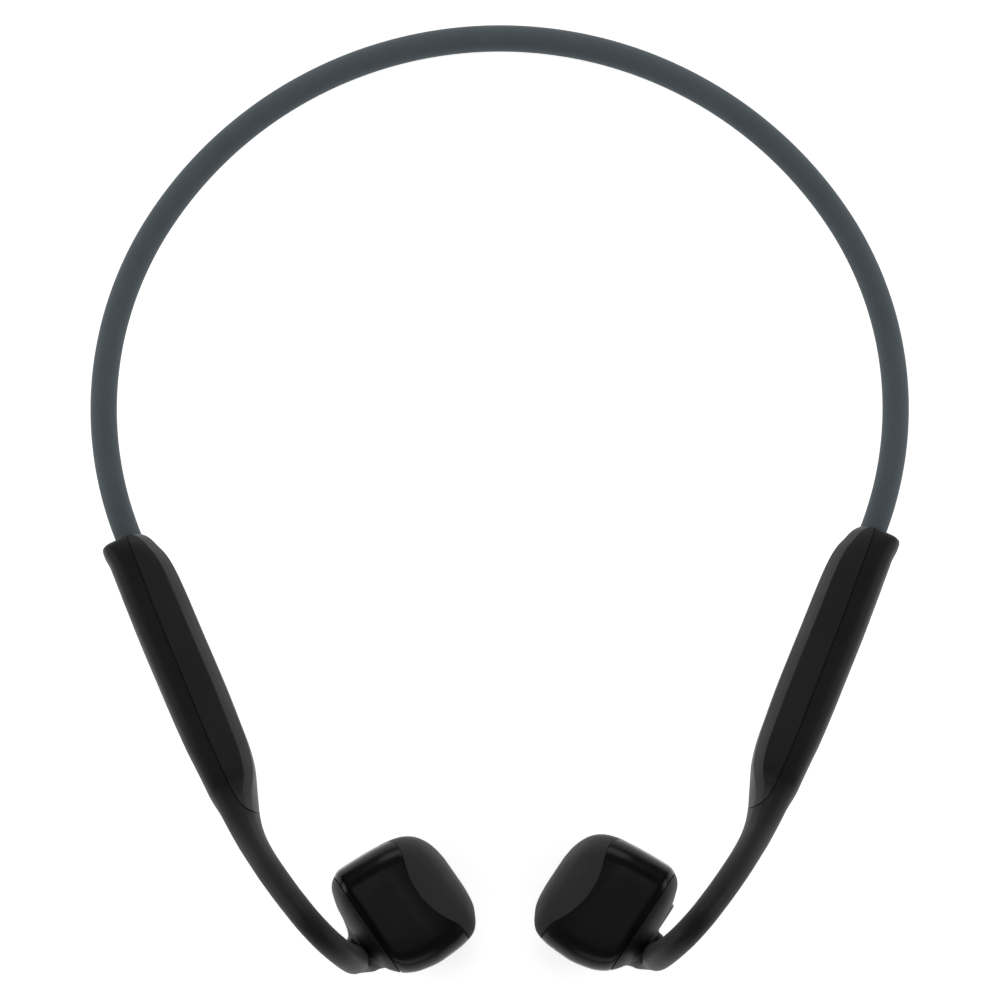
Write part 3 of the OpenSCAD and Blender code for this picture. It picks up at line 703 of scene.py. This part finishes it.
def band_path(extra, size=1.2):
    """Centreline of the right half from the rear to the pod, with the across and up directions."""
    tilt = rad(BAND_TILT)
    ey = np.array([0, math.cos(tilt), -math.sin(tilt)])
    ez = np.array([0, math.sin(tilt), math.cos(tilt)])
    ex = np.array([1.0, 0, 0])
    o = np.array([0, BAND_Y, SLEEVE_R])
    a_rear = math.atan2(BAND_SIN, BAND_COS)
    c1 = np.array([0, -BAND_R_REAR])
    c2 = c1 + (BAND_R_REAR - BAND_R_SIDE) * np.array([BAND_SIN, BAND_COS])
    out = []
    for a in steps(0, a_rear, size / BAND_R_REAR):
        out.append((c1, BAND_R_REAR, a))
    total = a_rear + rad(BAND_END + extra)
    for a in steps(a_rear, total, size / BAND_R_SIDE)[1:]:
        out.append((c2, BAND_R_SIDE, a))
    pts = []
    for c, r, a in out:
        d = np.array([math.sin(a), math.cos(a)])
        p = c + r * d
        radial = -ex * d[0] + ey * d[1]
        pts.append((o - ex * p[0] + ey * p[1], radial, ez))
    return pts


def swept(pts, off, r, n):
    """Rings of a round section along the band, moved off its middle."""
    a = np.linspace(0, 2 * math.pi, n, endpoint=False)
    return [c + radial * off + r * (np.outer(np.cos(a), radial) + np.outer(np.sin(a), up))
            for c, radial, up in pts]


def make_sleeve(side):
    """A silicone tube with a bore for the wire and one for the cable."""
    left = side == "left"
    pts = band_path(-1.0, 1.0)
    n, nb = 48, 20
    outer = swept(pts, 0, SLEEVE_R, n)
    bores = [swept(pts, WIRE_OFF, WIRE_R + BORE_GAP, nb), swept(pts, CABLE_OFF, CABLE_R + BORE_GAP, nb)]
    k = len(pts)
    verts, faces, rims = [], [], {0: [], 1: []}
    start = 0
    for rings, m in ((outer, n), (bores[0], nb), (bores[1], nb)):
        verts += rings
        faces += [(start + j * m + i, start + j * m + (i + 1) % m,
                   start + (j + 1) * m + (i + 1) % m, start + (j + 1) * m + i)
                  for j in range(k - 1) for i in range(m)]
        rims[0].append([start + i for i in range(m)])
        rims[1].append([start + (k - 1) * m + i for i in range(m)])
        start += k * m
    v = np.concatenate(verts) * MM
    if left:
        v = v * np.array([-1, 1, 1])
    bm = bmesh.new()
    bv = [bm.verts.new(p) for p in v]
    for f in faces:
        bm.faces.new([bv[i] for i in f])
    bm.edges.ensure_lookup_table()
    for end in (0, 1):
        edges = []
        for loop in rims[end]:
            for i in range(len(loop)):
                e = bm.edges.get((bv[loop[i]], bv[loop[(i + 1) % len(loop)]]))
                edges.append(e)
        bmesh.ops.triangle_fill(bm, use_beauty=True, use_dissolve=False, edges=edges)
    bmesh.ops.recalc_face_normals(bm, faces=bm.faces)
    me = bpy.data.meshes.new(side + "_neckband_sleeve")
    bm.to_mesh(me)
    bm.free()
    o = bpy.data.objects.new(side + "_neckband_sleeve", me)
    bpy.context.scene.collection.objects.link(o)
    smooth(o, 50)
    return o


CORES = {"wire": (WIRE_OFF, WIRE_R, WIRE_EXTRA), "cable": (CABLE_OFF, CABLE_R, CABLE_EXTRA)}


def make_core(side, kind):
    """Half of the wire or the cable inside the sleeve."""
    left = side == "left"
    off, r, extra = CORES[kind]
    o = loft(side + "_neckband_" + kind, swept(band_path(extra, 1.5), off, r, 20), left)
    smooth(o, 50)
    return o


# ---------------------------------------------------------------- controls

def pill_stack(levels, u):
    """Rings of a pill-shaped solid: (length, width, depth) from the outer face inward."""
    return [under(u, CONTROL_V, pill_ring(a, b), d) for a, b, d in levels]


def make_key(name, u, bump):
    """A rounded key on a wider flange, with a felt dot when bump is set."""
    # growth over the key's size, and depth
    steps_in = [(-2.0, -0.35), (-1.0, -0.33), (-0.45, -0.27), (-0.15, -0.15), (0, 0.05), (0, 1.4),
                (1, 1.4), (1, 1.9)]
    key = loft(name, pill_stack([(KEY_LEN + g, KEY_W + g, d) for g, d in steps_in], u))
    if bump:
        dome = ((0.02, -0.47), (0.14, -0.46), (0.24, -0.42), (0.3, -0.36), (0.33, -0.2))
        boolean(key, loft("b", [under(u, CONTROL_V, r * DISC, d) for r, d in dome]), "UNION")
    clean(key, 40)
    return key


def make_flap():
    """The port cover: a rounded flap, its hinge roll and the lip that plugs the port."""
    t, w = COVER_T, COVER_W
    far = FLAP_END
    prof = []
    for a in np.linspace(math.pi * 0.5, math.pi * 1.5, 20):
        prof.append((t / 2 * math.cos(a), t / 2 * math.sin(a)))
    e = 0.25
    for a in np.linspace(-math.pi / 2, 0, 6):
        prof.append((far - e + e * math.cos(a), -t / 2 + e + e * math.sin(a)))
    for a in np.linspace(0, math.pi / 2, 6):
        prof.append((far - e + e * math.cos(a), t / 2 - e + e * math.sin(a)))
    prof = np.array(prof)
    mid = np.array([far / 2, 0])
    rings = []
    sides = ((-w / 2, 0.16), (-w / 2 + 0.05, 0.07), (-w / 2 + 0.16, 0),
             (w / 2 - 0.16, 0), (w / 2 - 0.05, 0.07), (w / 2, 0.16))
    for v, s in sides:
        q = prof.copy()
        q[:, 0] = mid[0] + (q[:, 0] - mid[0]) * (1 - s / (far / 2))
        q[:, 1] = q[:, 1] * (1 - s / (t / 2))
        rings.append(from_pod(np.column_stack([PIVOT_U + q[:, 0], np.full(len(q), CONTROL_V + v),
                                               UNDER_W + t / 2 + q[:, 1]])))
    flap = loft("port_cover_flap", rings)
    plug = [(7.6, 2.0, t - 0.2), (7.6, 2.0, t + 0.42), (7.3, 1.7, t + 0.55), (6.9, 1.3, t + 0.6)]
    boolean(flap, loft("b", pill_stack(plug, PORT_U)), "UNION")
    notch = [from_pod(np.column_stack([PIVOT_U + far - 0.9 + 0.28 * np.cos(TURN48),
                                       CONTROL_V + 1.1 * np.sin(TURN48), np.full(48, UNDER_W + z)]))
             for z in (-0.5, 0.22)]
    boolean(flap, loft("b", notch))
    return clean(flap, 40)


def make_button():
    """The multifunction button: a shallow dished disc on a stepped flange."""
    r = MFB_D / 2
    dished = [(-9.45, 0.01), (-9.46, 0.8), (-9.5, 1.6), (-9.57, 2.3), (-9.68, 2.85), (-9.745, 3.05)]
    edge = [(-9.75, 3.15), (-9.72, 3.28), (-9.64, r - 0.08), (-9.5, r)]
    flange = [(-7.55, r), (-7.55, r + 0.6), (-7.2, r + 0.6), (-7.2, 0.01)]
    o = revolve("multifunction_cap", dished + edge + flange, from_button, True)
    smooth(o, 35)
    return o


# ---------------------------------------------------------------- materials

def grain(new, pattern, scale):
    """The fine pattern behind the bump, and its height."""
    if pattern == "voronoi":
        fine = new("ShaderNodeTexVoronoi")
        fine.inputs["Scale"].default_value = scale
        return fine, fine.outputs["Distance"]
    if pattern == "wave":
        fine = new("ShaderNodeTexWave")
        fine.inputs["Scale"].default_value = scale
        fine.inputs["Distortion"].default_value = 0.6
        return fine, fine.outputs["Fac"]
    fine = new("ShaderNodeTexNoise")
    fine.inputs["Scale"].default_value = scale
    fine.inputs["Detail"].default_value = 4
    return fine, fine.outputs["Fac"]


def scuffed(nt, vector, colour, base, wear):
    """The colour with paler scuffs over it."""
    scuff = nt.nodes.new("ShaderNodeTexNoise")
    scuff.inputs["Scale"].default_value = 260
    scuff.inputs["Detail"].default_value = 8
    nt.links.new(vector, scuff.inputs["Vector"])
    pick = nt.nodes.new("ShaderNodeMapRange")
    pick.inputs["From Min"].default_value, pick.inputs["From Max"].default_value = 0.6, 0.78
    pick.inputs["To Max"].default_value = wear
    nt.links.new(scuff.outputs["Fac"], pick.inputs["Value"])
    mix = nt.nodes.new("ShaderNodeMix")
    mix.data_type = "RGBA"
    mix.inputs["B"].default_value = (*[min(1, c * 2.2 + 0.02) for c in base], 1)
    nt.links.new(pick.outputs["Result"], mix.inputs["Factor"])
    nt.links.new(colour, mix.inputs["A"])
    return mix.outputs["Result"]


def material(name, base, rough, bump=0.05, scale=900, spread=0.15, metal=0.0, coat=0.0, sheen=0.0,
             rough_spread=0.08, wear=0.0, pattern="noise", stretch=None, transmission=0.0, spec=0.5):
    """A procedural finish: fine grain, broad colour and gloss variation and light wear."""
    m = bpy.data.materials.new(name)
    m.use_nodes = True
    nt = m.node_tree
    nt.nodes.clear()
    N, L = nt.nodes.new, nt.links.new
    out, sh = N("ShaderNodeOutputMaterial"), N("ShaderNodeBsdfPrincipled")
    L(sh.outputs["BSDF"], out.inputs["Surface"])
    sh.inputs["Metallic"].default_value = metal
    sh.inputs["IOR"].default_value = 1.5
    sh.inputs["Specular IOR Level"].default_value = spec
    sh.inputs["Coat Weight"].default_value = coat
    sh.inputs["Coat Roughness"].default_value = 0.25
    sh.inputs["Sheen Weight"].default_value = sheen
    sh.inputs["Sheen Roughness"].default_value = 0.4
    sh.inputs["Transmission Weight"].default_value = transmission
    tc, mp = N("ShaderNodeTexCoord"), N("ShaderNodeMapping")
    L(tc.outputs["Object"], mp.inputs["Vector"])
    if stretch:
        mp.inputs["Scale"].default_value = stretch
    broad = N("ShaderNodeTexNoise")
    broad.inputs["Scale"].default_value = 55
    broad.inputs["Detail"].default_value = 5
    broad.inputs["Roughness"].default_value = 0.6
    L(mp.outputs["Vector"], broad.inputs["Vector"])
    fine, height = grain(N, pattern, scale)
    L(mp.outputs["Vector"], fine.inputs["Vector"])
    ramp = N("ShaderNodeValToRGB")
    lo = [c * (1 - spread) for c in base]
    hi = [min(1, c * (1 + spread)) for c in base]
    ramp.color_ramp.elements[0].position, ramp.color_ramp.elements[0].color = 0.3, (*lo, 1)
    ramp.color_ramp.elements[1].position, ramp.color_ramp.elements[1].color = 0.7, (*hi, 1)
    L(broad.outputs["Fac"], ramp.inputs["Fac"])
    colour = ramp.outputs["Color"]
    if wear:
        colour = scuffed(nt, mp.outputs["Vector"], colour, base, wear)
    L(colour, sh.inputs["Base Color"])
    rr = N("ShaderNodeMapRange")
    rr.inputs["From Min"].default_value, rr.inputs["From Max"].default_value = 0.3, 0.7
    rr.inputs["To Min"].default_value = max(0.03, rough - rough_spread)
    rr.inputs["To Max"].default_value = min(1, rough + rough_spread)
    L(broad.outputs["Fac"], rr.inputs["Value"])
    L(rr.outputs["Result"], sh.inputs["Roughness"])
    bp = N("ShaderNodeBump")
    bp.inputs["Strength"].default_value = bump
    bp.inputs["Distance"].default_value = 0.0001
    L(height, bp.inputs["Height"])
    L(bp.outputs["Normal"], sh.inputs["Normal"])
    return m


MATS = {
    "sleeve_silicone": dict(base=(0.098, 0.119, 0.130), rough=0.66, bump=0.10, scale=2600,
                            spread=0.08, sheen=0.03, wear=0.08, spec=0.16),
    "arm_soft_touch": dict(base=(0.0042, 0.0042, 0.0045), rough=0.56, bump=0.10, scale=3200,
                           spread=0.2, wear=0.10, spec=0.28),
    "cover_plastic": dict(base=(0.0052, 0.0054, 0.0057), rough=0.52, bump=0.12, scale=2800,
                          spread=0.2, wear=0.12, spec=0.4),
    "head_shell": dict(base=(0.0022, 0.0022, 0.0024), rough=0.3, bump=0.06, scale=3000,
                       spread=0.25, wear=0.08, spec=0.22),
    "contact_silicone": dict(base=(0.033, 0.033, 0.0335), rough=0.74, bump=0.16, scale=3600,
                             spread=0.12, sheen=0.05, wear=0.08, spec=0.3),
    "key_plastic": dict(base=(0.008, 0.008, 0.0085), rough=0.38, bump=0.06, scale=3000, wear=0.2),
    "port_silicone": dict(base=(0.008, 0.008, 0.008), rough=0.66, bump=0.14, scale=3000, sheen=0.1,
                          wear=0.1),
    "spring_wire": dict(base=(0.55, 0.54, 0.52), rough=0.3, metal=1.0, bump=0.08, scale=2600,
                        stretch=(1, 1, 0.1), rough_spread=0.1),
    "cable_jacket": dict(base=(0.05, 0.05, 0.055), rough=0.5, bump=0.08, scale=2400),
    "crimp_brass": dict(base=(0.62, 0.46, 0.22), rough=0.32, metal=1.0, bump=0.08, scale=1800, wear=0.2),
    "bracket_plastic": dict(base=(0.10, 0.10, 0.105), rough=0.5, bump=0.08, scale=2400),
    "coil_copper": dict(base=(0.72, 0.33, 0.15), rough=0.28, metal=1.0, bump=0.6, scale=3600,
                        pattern="wave"),
    "spring_steel": dict(base=(0.6, 0.6, 0.58), rough=0.25, metal=1.0, bump=0.05, scale=2600,
                         stretch=(1, 0.1, 1)),
    "plated_steel": dict(base=(0.55, 0.56, 0.58), rough=0.35, metal=1.0, bump=0.08, scale=2200,
                         wear=0.2),
    "magnet_nickel": dict(base=(0.66, 0.65, 0.62), rough=0.16, metal=1.0, bump=0.04, scale=2000),
    "circuit_board": dict(base=(0.012, 0.10, 0.04), rough=0.35, bump=0.25, scale=1600,
                          pattern="voronoi", coat=0.3),
    "chip_black": dict(base=(0.015, 0.015, 0.016), rough=0.55, bump=0.15, scale=4200),
    "bright_steel": dict(base=(0.62, 0.62, 0.61), rough=0.3, metal=1.0, bump=0.06, scale=2400),
    "connector_plastic": dict(base=(0.02, 0.02, 0.02), rough=0.5, bump=0.06, scale=2600),
    "clear_plastic": dict(base=(0.75, 0.78, 0.8), rough=0.25, bump=0.03, scale=1500, transmission=0.4),
    "antenna_brass": dict(base=(0.7, 0.52, 0.24), rough=0.3, metal=1.0, bump=0.06, scale=2200),
    "cell_foil": dict(base=(0.42, 0.44, 0.47), rough=0.32, metal=0.9, bump=0.3, scale=700),
    "foam": dict(base=(0.04, 0.04, 0.042), rough=0.9, bump=0.8, scale=2600, pattern="voronoi"),
}
made = {k: material(k, **v) for k, v in MATS.items()}


def dress(o, slot, body=None):
    o.data.materials.clear()
    o.data.materials.append(made[slot])
    if body:
        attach(o, body)


# ---------------------------------------------------------------- build

slots = {s["node"]: s["material_slot"] for s in frame["record"]["subparts"]}
for n, o in frame["nodes"].items():
    o.data.materials.clear()
    o.data.materials.append(made[slots[n]])

for side in ("right", "left"):
    body = side + "_arm"
    arm = make_arm(side)
    dress(arm, "arm_soft_touch", body)
    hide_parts(side + "_arm_skin")
    cover = make_cover(side)
    dress(cover, "cover_plastic", body)
    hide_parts(side + "_inner_cover")
    shell, pad = make_head(side)
    dress(shell, "head_shell", body)
    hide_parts(side + "_head_housing")
    dress(pad, "contact_silicone", body)
    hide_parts(side + "_face_pad")
    wire = loft(side + "_hook_wire_run", tube_along(WIRE_RUN, HOOK_WIRE_R), side == "left")
    smooth(wire, 50)
    dress(wire, "spring_wire", body)
    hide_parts(side + "_hook_wire")
    cable = loft(side + "_hook_cable_run", tube_along(CABLE_RUN, HOOK_CABLE_R), side == "left")
    smooth(cable, 50)
    dress(cable, "cable_jacket", body)
    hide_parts(side + "_hook_cable")
    for piece, slot, node in ((make_sleeve(side), "sleeve_silicone", "neckband_sleeve"),
                              (make_core(side, "wire"), "spring_wire", "neckband_wire"),
                              (make_core(side, "cable"), "cable_jacket", "neckband_cable")):
        dress(piece, slot)
        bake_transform(piece)
        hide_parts(node)

for name, u, node, body, bump in (("volume_up_cap", UP_U, "volume_up_key", "volume_up", True),
                                  ("volume_down_cap", DOWN_U, "volume_down_key", "volume_down", False)):
    key = make_key(name, u, bump)
    dress(key, "key_plastic", body)
    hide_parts(node)
flap = make_flap()
dress(flap, "port_silicone", "charging_port_cover")
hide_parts("port_cover")
button = make_button()
dress(button, "key_plastic", "multifunction")
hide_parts("multifunction_button")

# ---------------------------------------------------------------- stage, light and camera

FLOOR = 6
FLOOR_DROP = 0.00005
floor_me = bpy.data.meshes.new("floor")
corners = [(-FLOOR, -FLOOR, 0), (FLOOR, -FLOOR, 0), (FLOOR, FLOOR, 0), (-FLOOR, FLOOR, 0)]
floor_me.from_pydata(corners, [], [(0, 1, 2, 3)])
floor = bpy.data.objects.new("floor", floor_me)
bpy.context.scene.collection.objects.link(floor)
floor_mat = material("paper", (0.9, 0.9, 0.9), 0.9, bump=0.02, scale=300, spread=0.005)
paper = next(n for n in floor_mat.node_tree.nodes if n.type == "BSDF_PRINCIPLED")
paper.inputs["Emission Color"].default_value = (1, 1, 1, 1)
paper.inputs["Emission Strength"].default_value = 0.75
floor.data.materials.append(floor_mat)
floor.location.z = -FLOOR_DROP

world = bpy.data.worlds.new("studio")
bpy.context.scene.world = world
world.use_nodes = True
bg = world.node_tree.nodes["Background"]
bg.inputs["Color"].default_value = (1, 1, 1, 1)
bg.inputs["Strength"].default_value = 0.15


def area(name, at, size, power, to=(0, 0, 0.01)):
    d = bpy.data.lights.new(name, "AREA")
    d.shape, d.size, d.size_y, d.energy = "RECTANGLE", size[0], size[1], power
    o = bpy.data.objects.new(name, d)
    bpy.context.scene.collection.objects.link(o)
    o.location = at
    o.rotation_euler = (Vector(to) - Vector(at)).to_track_quat("-Z", "Y").to_euler()
    return o


area("side_right", (-1.25, 0.1, 0.6), (0.9, 0.6), 4.5)
area("side_left", (1.25, 0.1, 0.6), (0.9, 0.6), 4.5)
area("rear", (0.0, 1.3, 0.8), (1.2, 0.7), 5.5)
area("front", (0.0, -1.3, 0.6), (1.2, 0.4), 2.5)
area("over", (0.0, 0.1, 1.8), (0.55, 0.4), 0.7)

# height of the camera, the height it is focused on, the width seen there and the film's width
CAM_Z, FOCUS_Z, VIEW_WIDTH, FILM = 4.0, 0.012, 0.16155, 36
VIEW_TURN = -0.59
cam_data = bpy.data.cameras.new("camera")
cam = bpy.data.objects.new("camera", cam_data)
bpy.context.scene.collection.objects.link(cam)
bpy.context.scene.camera = cam
cam_data.type = "PERSP"
cam_data.sensor_width = FILM
cam_data.lens = FILM * (CAM_Z - FOCUS_Z) / VIEW_WIDTH
cam_data.clip_start, cam_data.clip_end = 0.05, 50
cam.location = (-0.0001, -0.0003, CAM_Z)
cam.rotation_euler = (0, 0, rad(VIEW_TURN))
bpy.context.scene.view_settings.view_transform = "Standard"
